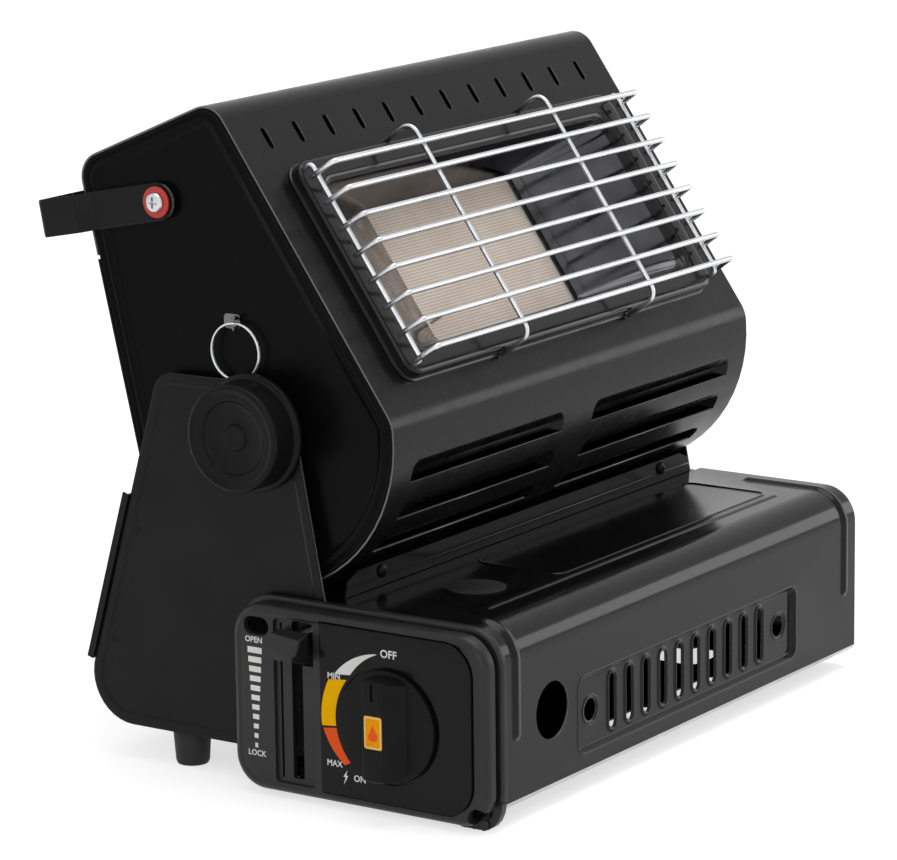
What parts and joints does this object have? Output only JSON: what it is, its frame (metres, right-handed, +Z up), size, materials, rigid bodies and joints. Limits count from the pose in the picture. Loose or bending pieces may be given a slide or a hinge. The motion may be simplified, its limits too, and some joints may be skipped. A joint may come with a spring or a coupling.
{
  "type": "portable gas heater",
  "caption": "Portable radiant gas heater: tilting enamelled head with guarded ceramic burner on a clamped stand, over a base with hinged cartridge cover, gas knob and lock lever.",
  "frame": {"origin": "bottom centre of the whole heater's bounding box, at the floor", "axes": "+X along the heater away from the gas controls, -Y the way the radiant face looks, +Z up"},
  "size_m": [0.3232, 0.2264, 0.2743],
  "materials": {
    "black_enamel": "gloss",
    "black_plastic": "satin",
    "plate_black": "gloss",
    "badge_orange": "gloss",
    "polished_steel": "polished",
    "chrome": "polished",
    "zinc_steel": "satin",
    "aluminised": "satin",
    "cast_box": "matte",
    "plaque": "matte",
    "fibre": "matte",
    "brass": "satin",
    "rubber": "matte",
    "seal_rubber": "matte",
    "lead_red": "satin",
    "igniter_white": "satin",
    "porcelain": "gloss",
    "washer_red": "satin"
  },
  "bodies": {
    "base": {"base_tray": "black_enamel", "rear_deck": "black_enamel", "deck_screws": "zinc_steel", "hinge_pins": "zinc_steel", "leg_left": "black_enamel", "leg_right": "black_enamel", "stand_back": "black_enamel", "stand_floor": "black_enamel", "stand_screws": "zinc_steel", "rear_feet": "rubber", "middle_feet": "rubber", "control_housing": "black_plastic", "control_plate": "plate_black", "housing_screws": "zinc_steel", "regulator": "aluminised", "socket_seal": "seal_rubber", "valve_body": "aluminised", "piezo_igniter": "igniter_white", "yoke_rail": "zinc_steel", "pivot_bushes": "zinc_steel", "gas_hose": "rubber", "ignition_wire": "lead_red"},
    "cover": {"cartridge_cover": "black_enamel"},
    "lever": {"lock_lever": "black_plastic"},
    "yoke": {"cartridge_yoke": "zinc_steel"},
    "gas_knob": {"gas_knob": "black_plastic", "knob_badge": "badge_orange", "valve_stem": "brass"},
    "head": {"head_shell": "black_enamel", "head_back": "black_enamel", "head_side_left": "black_enamel", "head_side_right": "black_enamel", "side_screws": "zinc_steel", "reflector": "polished_steel", "ceramic_plaque": "plaque", "plaque_gasket": "fibre", "burner_box": "cast_box", "mixer_tube": "cast_box", "gas_jet": "brass", "heat_shield": "aluminised", "spark_electrode": "porcelain", "guard_grille": "chrome", "pivot_bolts": "zinc_steel", "ring_lug": "zinc_steel", "handle_screws": "chrome", "handle_washers": "washer_red"},
    "handle": {"carry_handle": "black_enamel"},
    "ring": {"split_ring": "chrome"},
    "clamp_left": {"clamp_knob_left": "black_plastic", "clamp_nut_left": "brass"},
    "clamp_right": {"clamp_knob_right": "black_plastic", "clamp_nut_right": "brass"}
  },
  "joints": [
    {"name": "head_tilt", "type": "hinge", "parent": "base", "child": "head", "pos_m": [0.0044, 0.0066, 0.146], "axis": [1, 0, 0], "range_deg": [-35, 30], "deforming": ["gas_hose", "ignition_wire"]},
    {"name": "cover_hinge", "type": "hinge", "parent": "base", "child": "cover", "pos_m": [0.0044, -0.1074, 0.0094], "axis": [1, 0, 0], "range_deg": [0, 85]},
    {"name": "lever_slide", "type": "slide", "parent": "base", "child": "lever", "axis": [0, 0, -1], "range_m": [0, 0.042]},
    {"name": "yoke_slide", "type": "slide", "parent": "base", "child": "yoke", "axis": [-1, 0, 0], "range_m": [0, 0.0063]},
    {"name": "gas_knob_turn", "type": "hinge", "parent": "base", "child": "gas_knob", "pos_m": [-0.1506, -0.0657, 0.0386], "axis": [-1, 0, 0], "range_deg": [0, 160]},
    {"name": "handle_swing", "type": "hinge", "parent": "head", "child": "handle", "pos_m": [0.0044, 0.0543, 0.2344], "axis": [1, 0, 0], "range_deg": [-37, 110]},
    {"name": "ring_swing", "type": "hinge", "parent": "head", "child": "ring", "pos_m": [-0.1341, 0.0171, 0.1885], "axis": [1, 0, 0], "range_deg": [-35, 35]},
    {"name": "clamp_left_turn", "type": "hinge", "parent": "base", "child": "clamp_left", "pos_m": [-0.1456, 0.0066, 0.146], "axis": [-1, 0, 0], "range_deg": [0, 360]},
    {"name": "clamp_right_turn", "type": "hinge", "parent": "base", "child": "clamp_right", "pos_m": [0.1544, 0.0066, 0.146], "axis": [1, 0, 0], "range_deg": [0, 360]}
  ],
  "couplings": [
    {"joint": "yoke_slide", "follows": "lever_slide", "ratio": 0.15}
  ]
}
